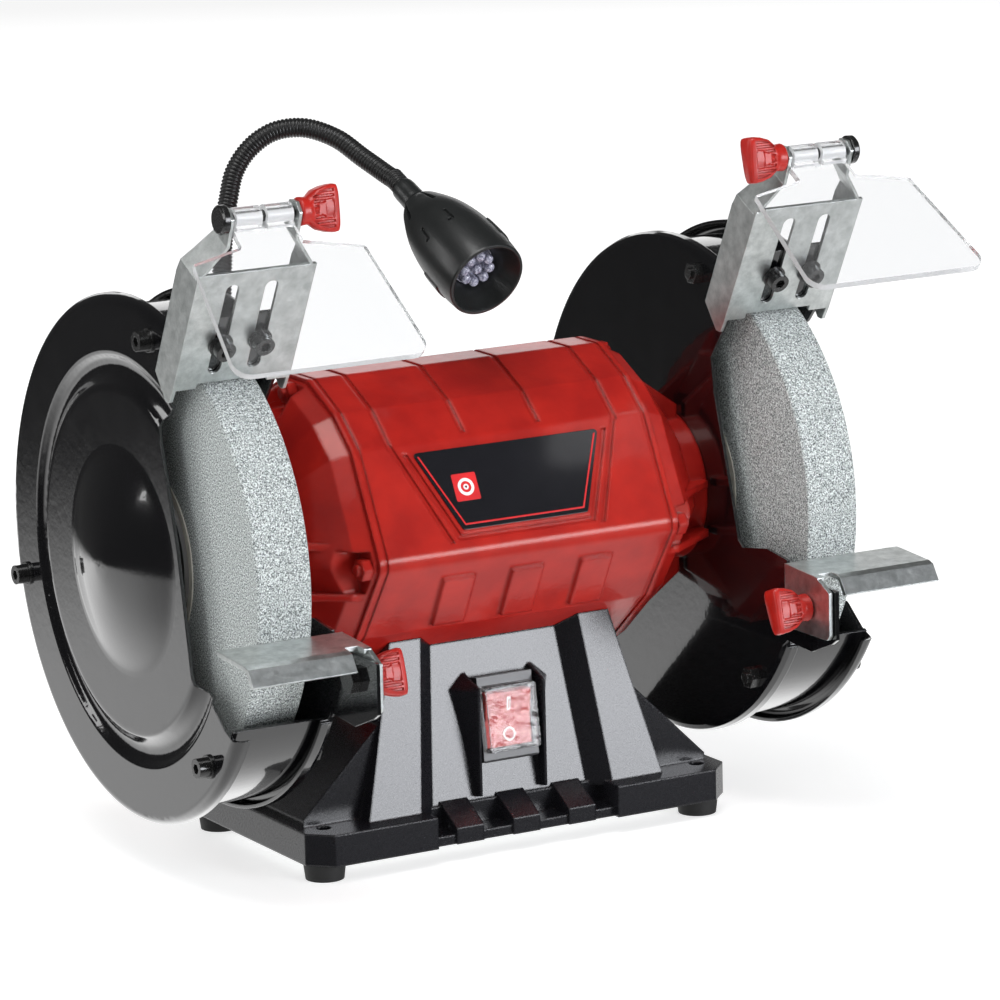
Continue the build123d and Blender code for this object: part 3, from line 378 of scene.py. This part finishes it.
def clear_boot():
    """Clear soft cover over the switch, with a wavy gloss."""
    mat, tree, shader = finish_of("clear_boot", (0.97, 0.95, 0.95), 0.1, coat=0.25, coat_rough=0.1)
    shader.inputs["Transmission Weight"].default_value = 0.98
    shader.inputs["IOR"].default_value = CLEAR_IOR
    wave = bump_of(tree, shader, noise_of(tree, 150, 2), 0.0006)
    tree.links.new(wave.outputs["Normal"], shader.inputs["Coat Normal"])
    return mat


def diode_clear():
    """Clear diode bodies crowded together: pale blue grey with bright flecks."""
    mat, tree, shader = finish_of("diode_clear", (0.5, 0.5, 0.58), 0.12, coat=1.0)
    tint = ramp_of(tree, noise_of(tree, 900, 3, 0.7),
                   [(0.38, (0.10, 0.10, 0.15)), (0.5, (0.26, 0.26, 0.34)),
                    (0.64, (0.55, 0.55, 0.64))])
    tree.links.new(tint, shader.inputs["Base Color"])
    tree.links.new(spread_of(tree, noise_of(tree, 500, 2), 0.08, 0.25), shader.inputs["Roughness"])
    return mat


FINISHES = {
    "base_paint": base_black(),
    "motor_red": motor_red(),
    "guard_black": guard_black(),
    "sheet_zinc": zinc_sheet(),
    "bright_steel": steel("bright_steel", (0.62, 0.62, 0.63), 0.25),
    "flange_steel": steel("flange_steel", (0.45, 0.45, 0.46), 0.35),
    "lamination_steel": steel("lamination_steel", (0.35, 0.36, 0.38), 0.45),
    "screw_black": moulded("screw_black", (0.008, 0.008, 0.008), 0.25, 1500, 0.00002, 0.6),
    "plastic_red": moulded("plastic_red", (0.42, 0.012, 0.007), 0.36, 900, 0.00004, 0.1),
    "plastic_black": moulded("plastic_black", (0.010, 0.011, 0.011), 0.36, 1400, 0.00006, 0.2),
    "plastic_dark": moulded("plastic_dark", (0.022, 0.022, 0.024), 0.36, 900, 0.00004, 0.3),
    "plastic_grey": moulded("plastic_grey", (0.35, 0.35, 0.37), 0.5),
    "rubber_black": moulded("rubber_black", (0.014, 0.014, 0.014), 0.6, 600, 0.0001),
    "gooseneck_black": moulded("gooseneck_black", (0.012, 0.012, 0.012), 0.34, 1400, 0.00003),
    "clear_plastic": clear_sheet(),
    "led_clear": diode_clear(),
    "plate_dark": moulded("plate_dark", (0.006, 0.006, 0.008), 0.2, 2500, 0.00001, 0.8),
    "copper_wire": steel("copper_wire", (0.7, 0.33, 0.15), 0.3),
    "blotter_paper": moulded("blotter_paper", (0.62, 0.6, 0.52), 0.8),
    "abrasive": abrasive(),
}
BOOT_FINISH = clear_boot()
MARK_WHITE = moulded("mark_white", (0.78, 0.78, 0.78), 0.4, 1800, 0.00001)
MARK_RED = moulded("mark_red", (0.62, 0.012, 0.015), 0.35, 1800, 0.00001)


def dress_frame():
    """Gives every CAD node the finish of its material slot, and the switch cover its own."""
    for part in frame["record"]["subparts"]:
        node = frame["nodes"][part["node"]]
        node.data.materials.clear()
        node.data.materials.append(FINISHES[part["material_slot"]])
    boot = frame["nodes"]["switch_splash_cover"].data
    boot.materials.clear()
    boot.materials.append(BOOT_FINISH)


# ---------------------------------------------------------------- surfaces worked out on grids

def unit(vector):
    """Vectors scaled to length one along the last axis."""
    vector = np.asarray(vector, float)
    return vector / np.linalg.norm(vector, axis=-1, keepdims=True)


def grid_piece(name, points, faces, slot, body, finish=None, smooth=True):
    """A closed surface from points in millimetres, with its slot's finish unless another is given.
    It rides on a body, or stays unattached where the body is None."""
    mesh = bpy.data.meshes.new(name)
    mesh.from_pydata((np.asarray(points) * MM).tolist(), [], [list(map(int, f)) for f in faces])
    mesh.polygons.foreach_set("use_smooth", np.full(len(mesh.polygons), smooth))
    mesh.materials.append(finish or FINISHES[slot])
    mesh.update()
    piece = bpy.data.objects.new(name, mesh)
    bpy.context.scene.collection.objects.link(piece)
    if body:
        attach(piece, body)
    return piece


def tube_faces(rows, around):
    """Quads of a grid that closes round, then a fan at each end to the two last points."""
    row, column = (index.ravel() for index in np.indices((rows - 1, around)))
    after = (column + 1) % around
    skin = np.stack([row * around + column, row * around + after,
                     (row + 1) * around + after, (row + 1) * around + column], -1)
    turn = np.arange(around)
    onward = (turn + 1) % around
    start = np.stack([np.full(around, rows * around), onward, turn], -1)
    last = (rows - 1) * around
    end = np.stack([np.full(around, rows * around + 1), last + turn, last + onward], -1)
    return [*skin.tolist(), *start.tolist(), *end.tolist()]


FINE_STEPS = 4000


def through(points, count, first=None, final=None):
    """Cubic through the points; a point's slope is its two chords' slopes weighted by the other's
    length, and the ends take the given directions. Returns `count` points evenly far apart and the
    length in millimetres."""
    points = np.asarray(points, float)
    chord = np.linalg.norm(np.diff(points, axis=0), axis=1)
    slope = np.diff(points, axis=0) / chord[:, None]
    inner = slope[:-1] * chord[1:, None] + slope[1:] * chord[:-1, None]
    inner = inner / (chord[:-1] + chord[1:])[:, None]
    first = slope[0] if first is None else unit(first)
    final = slope[-1] if final is None else unit(final)
    tangent = np.vstack([first, inner, final])
    knots = np.concatenate([[0.0], np.cumsum(chord)])
    fine = np.linspace(0, knots[-1], FINE_STEPS)
    span = np.clip(np.searchsorted(knots, fine, side="right") - 1, 0, len(chord) - 1)
    t = ((fine - knots[span]) / chord[span])[:, None]
    length = chord[span][:, None]
    line = ((2 * t**3 - 3 * t**2 + 1) * points[span]
            + (t**3 - 2 * t**2 + t) * length * tangent[span]
            + (3 * t**2 - 2 * t**3) * points[span + 1]
            + (t**3 - t**2) * length * tangent[span + 1])
    stride = np.linalg.norm(np.diff(line, axis=0), axis=1)
    walked = np.concatenate([[0.0], np.cumsum(stride)])
    even = np.linspace(0, walked[-1], count)
    return np.stack([np.interp(even, walked, line[:, k]) for k in range(3)], -1), walked[-1]


RIB_PITCH = 1.6
RIB_DEPTH = 0.55
RIB_NARROW = 1.5
HOSE_AROUND = 16


def ribbed_tube(name, line, length, radius):
    """Tube of circles round a line; the radius falls by the rib depth in a valley once a pitch: the
    cosine of the way along, where positive, raised to a power that narrows it."""
    rows = len(line)
    ahead = unit(np.gradient(line, axis=0))
    across = unit(np.cross(ahead, LEFT_TO_RIGHT))
    beside = np.cross(across, ahead)
    walk = np.linspace(0, length, rows)
    valley = np.maximum(0.0, np.cos(2 * np.pi * walk / RIB_PITCH)) ** RIB_NARROW
    reach = (radius - RIB_DEPTH * valley)[:, None, None]
    turn = np.linspace(0, 2 * np.pi, HOSE_AROUND, endpoint=False)[None, :, None]
    spoke = np.cos(turn) * beside[:, None] + np.sin(turn) * across[:, None]
    ring = line[:, None] + reach * spoke
    points = np.vstack([ring.reshape(-1, 3), line[:1], line[-1:]])
    return grid_piece(name, points, tube_faces(rows, HOSE_AROUND), "gooseneck_black", None)


# ---------------------------------------------------------------- lamp

NECK_ROUTE = [(-70.0, 78.0, 158.0), (-69.9, 78.0, 190.0), (-69.5, 78.0, 226.8),
              (-60.4, 85.5, 272.6), (-56.2, 86.0, 285.4), (-49.3, 84.2, 295.0),
              (-40.4, 79.9, 301.6), (-30.1, 72.8, 303.5), (-18.9, 61.3, 299.2),
              (-12.2, 49.3, 291.4), (-7.5, 36.5, 285.0), (-5.8, 28.9, 281.9)]
NECK_END = (0.057, -0.895, -0.443)
HEAD_NECK = np.array((-4.8, 13.0, 274.0))
HEAD_AIM = unit((3.4, -53.0, -26.2))
HEAD_SIDE = unit(np.cross((0.0, 0.0, 1.0), HEAD_AIM))
HEAD_UP = np.cross(HEAD_AIM, HEAD_SIDE)
HEAD_SKIN = [(-14.2, 4.6), (-13.4, 5.1), (-12.0, 5.3), (-8.0, 5.4), (-4.0, 5.5), (-1.2, 5.6),
             (-0.2, 6.2), (0.6, 7.4), (2.2, 8.6), (8.0, 11.4), (17.0, 14.8),
             (28.0, 17.2), (42.0, 18.4), (55.0, 18.2), (58.5, 17.9)]
HEAD_DISH = [(59.0, 17.7), (59.2, 17.3), (59.2, 16.6), (58.8, 16.2), (58.0, 15.8), (54.0, 13.1),
             (50.0, 10.5), (48.0, 9.9), (46.0, 9.6), (46.0, 5.0)]
HOSE_ROWS, HOSE_RADIUS = 901, 4.4
CUFF_ROWS, CUFF_RADIUS, CUFF_OVER_HOSE, CUFF_OVER_HEAD = 61, 4.5, 5.0, 11.0
HEAD_ROWS, HEAD_AROUND, HEAD_CREASE = 170, 300, math.radians(38)
NECK_SLOTS = np.arange(0, 360, 60) + 44.4
NECK_SLOT_DEPTH, BODY_SLOT_DEPTH, PAD_RISE = 1.7, 1.1, 0.6
BODY_SLOTS = (112.0, 156.0, 292.0, 336.0)
PADS = (44.4, 224.4)


def gooseneck_hose():
    """Corrugated neck: rings once every rib pitch along one smooth line from socket to lamp."""
    line, length = through(NECK_ROUTE, HOSE_ROWS, (0, 0, 1), NECK_END)
    hose = ribbed_tube("gooseneck_hose", line, length, HOSE_RADIUS)
    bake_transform(hose)
    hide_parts("gooseneck_lower", "gooseneck_upper")


def neck_cuff():
    """Short ribbed cuff over the joint between neck and lamp."""
    start = np.array(NECK_ROUTE[-1]) - unit(NECK_END) * CUFF_OVER_HOSE
    end = HEAD_NECK - HEAD_AIM * CUFF_OVER_HEAD
    line, length = through([start, NECK_ROUTE[-1], end], CUFF_ROWS)
    cuff = ribbed_tube("lamp_neck_cuff", line, length, CUFF_RADIUS)
    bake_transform(cuff)


def lamp_housing():
    """Bell of revolution about the lamp's axis. Six pointed slots at the neck and four short ones
    lower down sink the skin; two flat pads rise on its sides; the dish closes the front."""
    skin = np.array(HEAD_SKIN)
    line, _ = through(np.column_stack([skin, np.zeros(len(skin))]), HEAD_ROWS)
    along, reach = line[:, 0], line[:, 1]
    turn = np.linspace(0, 2 * np.pi, HEAD_AROUND, endpoint=False)
    radius = np.repeat(reach[:, None], HEAD_AROUND, axis=1)
    down = along[:, None]

    def near(centre):
        """Distance round the skin from an angle, in millimetres."""
        gap = (turn - math.radians(centre) + np.pi) % (2 * np.pi) - np.pi
        return np.abs(gap)[None, :] * radius

    for centre in NECK_SLOTS:
        width = 0.35 + 0.055 * np.clip(down - 1.0, 0, 13)
        slot = (near(centre) < width) & (down > 0.8) & (down < 14.0)
        radius = radius - NECK_SLOT_DEPTH * slot
    for centre in BODY_SLOTS:
        slot = (near(centre) < 0.5) & (down > 26.0) & (down < 34.0)
        radius = radius - BODY_SLOT_DEPTH * slot
        hook = (near(centre + 3.0) < 1.4) & (down > 33.0) & (down < 34.2)
        radius = radius - BODY_SLOT_DEPTH * hook
    for centre in PADS:
        radius = radius + PAD_RISE * ((near(centre) < 4.5) & (down > 36.0) & (down < 47.0))
    dish = np.array(HEAD_DISH)
    along = np.concatenate([along, dish[:, 0]])
    radius = np.vstack([radius, np.repeat(dish[:, 1:2], HEAD_AROUND, axis=1)])
    spoke = np.cos(turn)[:, None] * HEAD_SIDE + np.sin(turn)[:, None] * HEAD_UP
    centre = HEAD_NECK + along[:, None] * HEAD_AIM
    ring = centre[:, None, :] + radius[:, :, None] * spoke[None]
    points = np.vstack([ring.reshape(-1, 3), centre[:1], centre[-1:]])
    faces = tube_faces(len(along), HEAD_AROUND)
    bell = grid_piece("lamp_housing", points, faces, "plastic_black", "lamp")
    bell.data.set_sharp_from_angle(angle=HEAD_CREASE)
    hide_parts("lamp_head")


# ---------------------------------------------------------------- wing knobs

KNOB_RISE = [0.0, 0.5, 4.0, 5.2, 8.0, 12.0, 15.5, 17.3, 18.0]
KNOB_HALF_LONG = [5.2, 6.0, 5.7, 6.3, 8.3, 9.5, 10.0, 9.7, 8.6]
KNOB_HALF_THICK = [5.2, 6.0, 5.7, 5.0, 4.6, 4.6, 4.5, 4.1, 3.2]
KNOB_SQUARED = [2.0, 2.0, 2.0, 2.6, 4.5, 6.0, 6.0, 5.0, 4.0]
KNOB_ROWS, KNOB_AROUND, KNOB_CREASE = 48, 240, math.radians(40)
WING_START, WING_BLEND, WING_TAPER = 4.5, 4.0, 0.22
RIBS_FROM, RIBS_TO, RIBS_INSET = 6.0, 15.2, 1.6
KNOB_RIB_PITCH, KNOB_RIB_DEPTH = 2.1, 0.75
# (distance of the seat from the middle, (y, z) of the hub, lean of the wing in degrees)
SHIELD_KNOB = (117.45, (-88.974, 295.28), 80.0)
REST_KNOB = (108.5, (-118.0, 104.0), 70.0)


def wing_knob(node, body, side, seat_x, hub, lean):
    """Round hub that opens into a wedge-shaped wing. Each height is a squared oval: cosine and sine
    raised to 2 over its squareness; one end is thicker, and ribs run up both flanks."""
    rise = np.linspace(0.0, KNOB_RISE[-1], KNOB_ROWS)
    half_long, half_thick, squared = (np.interp(rise, KNOB_RISE, k)[:, None]
                                      for k in (KNOB_HALF_LONG, KNOB_HALF_THICK, KNOB_SQUARED))
    turn = np.linspace(0, 2 * np.pi, KNOB_AROUND, endpoint=False)[None, :]
    cosine, sine = np.cos(turn), np.sin(turn)
    long = half_long * np.sign(cosine) * np.abs(cosine) ** (2 / squared)
    thick = half_thick * np.sign(sine) * np.abs(sine) ** (2 / squared)
    up = rise[:, None]
    wing = np.clip((up - WING_START) / WING_BLEND, 0, 1)
    thick = thick * (1 + WING_TAPER * wing * long / half_long)
    ribbed = (up > RIBS_FROM) & (up < RIBS_TO) & (np.abs(long) < half_long - RIBS_INSET)
    groove = np.cos(2 * np.pi * long / KNOB_RIB_PITCH) < 0.1
    thick = thick - np.sign(sine) * KNOB_RIB_DEPTH * ribbed * groove
    outward = np.array((-side, 0.0, 0.0))
    along = np.array((0.0, math.cos(math.radians(lean)), math.sin(math.radians(lean))))
    across = np.cross(outward, along)
    base = np.array((side * seat_x, *hub))
    centre = base + rise[:, None] * outward
    ring = centre[:, None] + long[..., None] * along + thick[..., None] * across
    points = np.vstack([ring.reshape(-1, 3), centre[:1], centre[-1:]])
    faces = tube_faces(KNOB_ROWS, KNOB_AROUND)
    knob = grid_piece(f"{node}_ribbed", points, faces, "plastic_red", body)
    knob.data.set_sharp_from_angle(angle=KNOB_CREASE)
    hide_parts(node)


def wing_knobs():
    """Knobs of both shields and both tool rests."""
    for name, side in (("left", -1.0), ("right", 1.0)):
        wing_knob(f"shield_knob_{name}", f"shield_clamp_{name}", side, *SHIELD_KNOB)
        wing_knob(f"rest_knob_{name}", f"rest_clamp_{name}", side, *REST_KNOB)


# ---------------------------------------------------------------- raised marks

# The motor's upper slope: its middle, the way up it and the way out of it
SLOPE_MIDDLE = np.array((0.0, -58.7, 138.5 + 22.45))
SLOPE_RISE = unit((0.0, 22.4, 44.1))
SLOPE_OUT = unit((0.0, -44.1, 22.4))
SIGN_MIDDLE = (-24.5, 2.6)
# The rocker: its front's middle, how far behind that it pivots, and its V-shaped face
ROCKER_FRONT = np.array((0.0, -43.6, 56.2))
ROCKER_LEAN, ROCKER_HALF = math.radians(8.5), math.radians(0.5)
PIVOT_BEHIND, V_MIDDLE, V_RISE, V_HALF_HIGH = 3.0, 5.4, 1.2, 12.2


def on_plate(flat, lift):
    """Places (across, up the slope) points a height above the motor's upper slope."""
    return (SLOPE_MIDDLE + flat[:, :1] * LEFT_TO_RIGHT + flat[:, 1:2] * SLOPE_RISE
            + lift * SLOPE_OUT)


def on_rocker(flat, lift):
    """Places (across, up) points a height above the rocker's face, a shallow V that rises evenly
    from its middle to its two ends."""
    out = np.array((0.0, -math.cos(ROCKER_HALF), math.sin(ROCKER_HALF)))
    rise = np.array((0.0, math.sin(ROCKER_HALF), math.cos(ROCKER_HALF)))
    front = np.array((0.0, -math.cos(ROCKER_LEAN), math.sin(ROCKER_LEAN)))
    pivot = ROCKER_FRONT - PIVOT_BEHIND * front
    height = V_MIDDLE + V_RISE * np.abs(flat[:, 1:2]) / V_HALF_HIGH + lift
    return pivot + flat[:, :1] * LEFT_TO_RIGHT + flat[:, 1:2] * rise + height * out


def raised_band(name, outer, inner, place, lifts, slot, body, finish, closed=True):
    """Band between two outlines of equal count, from the lower to the upper lift above a face."""
    count = len(outer)
    flat = np.vstack([outer, inner])
    points = np.vstack([place(flat, lifts[1]), place(flat, lifts[0])])
    i = np.arange(count if closed else count - 1)
    j = (i + 1) % count
    k = 2 * count
    faces = [np.stack([i, j, count + j, count + i], -1),
             np.stack([k + i, k + count + i, k + count + j, k + j], -1),
             np.stack([k + i, k + j, j, i], -1),
             np.stack([count + i, count + j, k + count + j, k + count + i], -1)]
    if not closed:
        faces.append(np.array([[0, count, k + count, k],
                               [count - 1, k + count - 1, k + 2 * count - 1, 2 * count - 1]]))
    return grid_piece(name, points, np.vstack(faces), slot, body, finish, smooth=False)


def circle(centre, radius, count=40):
    """Points anticlockwise round a circle."""
    turn = np.linspace(0, 2 * np.pi, count, endpoint=False)
    return np.column_stack([centre[0] + radius * np.cos(turn), centre[1] + radius * np.sin(turn)])


def rounded(centre, half_wide, half_high, corner, count=40):
    """Points anticlockwise round a rounded rectangle: quarter circles pushed out to its corners."""
    turn = (np.arange(count) + 0.5) * 2 * np.pi / count
    push = np.column_stack([np.sign(np.cos(turn)) * (half_wide - corner),
                            np.sign(np.sin(turn)) * (half_high - corner)])
    return np.array(centre) + push + corner * np.column_stack([np.cos(turn), np.sin(turn)])


def plate_marks():
    """Red line inside the plate's lower edges, and a plain wheel sign: a red tile with a ring."""
    outer = np.array([(-44.0, 18.4), (-29.4, -14.0), (29.4, -14.0), (44.0, 18.4)])
    inner = np.array([(-43.1, 18.4), (-28.9, -13.2), (28.9, -13.2), (43.1, 18.4)])
    tile = rounded(SIGN_MIDDLE, 5.9, 6.1, 0.8)
    sign = (
        # name, outline, inner outline, lifts, finish, closed
        ("plate_red_line", outer, inner, (0.5, 0.6), MARK_RED, False),
        ("plate_sign_tile", tile, circle(SIGN_MIDDLE, 0.4), (0.5, 0.58), MARK_RED, True),
        ("plate_sign_wheel", circle(SIGN_MIDDLE, 3.9), circle(SIGN_MIDDLE, 2.5), (0.56, 0.66),
         MARK_WHITE, True),
        ("plate_sign_hub", circle(SIGN_MIDDLE, 1.3, 24), circle(SIGN_MIDDLE, 0.5, 24), (0.56, 0.66),
         MARK_WHITE, True),
    )
    for name, edge, hole, lifts, finish, closed in sign:
        raised_band(name, edge, hole, on_plate, lifts, "plate_dark", "frame", finish, closed)


def rocker_marks():
    """Plain on bar and off ring, moulded on the rocker's two faces."""
    above, below = (0.0, 6.8), (0.0, -6.8)
    bar = (rounded(above, 0.9, 3.0, 0.6, 24), rounded(above, 0.3, 2.2, 0.2, 24))
    ring = (circle(below, 3.1), circle(below, 2.2))
    for name, outlines in (("rocker_on_bar", bar), ("rocker_off_ring", ring)):
        raised_band(name, *outlines, on_rocker, (-0.2, 0.3), "plastic_red", "rocker", MARK_WHITE)


studio_camera()
studio_lights()
studio_floor()
dress_frame()
gooseneck_hose()
neck_cuff()
lamp_housing()
plate_marks()
rocker_marks()
wing_knobs()
